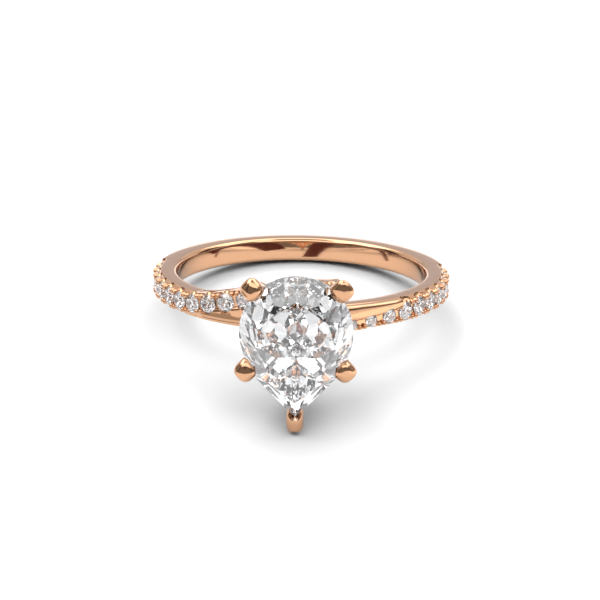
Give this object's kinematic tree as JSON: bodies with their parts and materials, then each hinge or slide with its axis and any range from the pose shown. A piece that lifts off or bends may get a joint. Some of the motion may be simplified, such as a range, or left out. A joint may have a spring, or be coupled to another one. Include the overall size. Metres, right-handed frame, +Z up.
{
  "type": "engagement ring",
  "caption": "Rose gold ring with a pear-cut centre stone in five claws on a twisting band set with rows of small round stones.",
  "frame": {"origin": "centre of the bounding box on the surface the ring lies on, resting on the lower back edge of the band and on the claw at the pear's point", "axes": "+Z up from that surface, +Y from the head towards the back of the band, +X to the right seen from the head; the finger axis leans from +Z by the rest tilt of about 11 degrees"},
  "size_m": [0.0198, 0.026, 0.0095],
  "materials": {
    "rose_gold": "polished",
    "diamond": "faceted, polished"
  },
  "bodies": {
    "root": {"shank": "rose_gold", "claw_upper_left": "rose_gold", "claw_upper_right": "rose_gold", "claw_lower_left": "rose_gold", "claw_lower_right": "rose_gold", "claw_tip": "rose_gold", "gallery_rail": "rose_gold", "lower_gallery_rail": "rose_gold", "head_base": "rose_gold", "center_diamond": "diamond", "accent_left_01": "diamond", "accent_left_02": "diamond", "accent_left_03": "diamond", "accent_left_04": "diamond", "accent_left_05": "diamond", "accent_left_06": "diamond", "accent_left_07": "diamond", "accent_left_08": "diamond", "accent_left_09": "diamond", "accent_left_10": "diamond", "accent_left_11": "diamond", "accent_left_12": "diamond", "accent_left_13": "diamond", "accent_left_14": "diamond", "accent_right_01": "diamond", "accent_right_02": "diamond", "accent_right_03": "diamond", "accent_right_04": "diamond", "accent_right_05": "diamond", "accent_right_06": "diamond", "accent_right_07": "diamond", "accent_right_08": "diamond", "accent_right_09": "diamond", "accent_right_10": "diamond", "accent_right_11": "diamond", "accent_right_12": "diamond", "accent_right_13": "diamond", "accent_right_14": "diamond"}
  },
  "joints": []
}
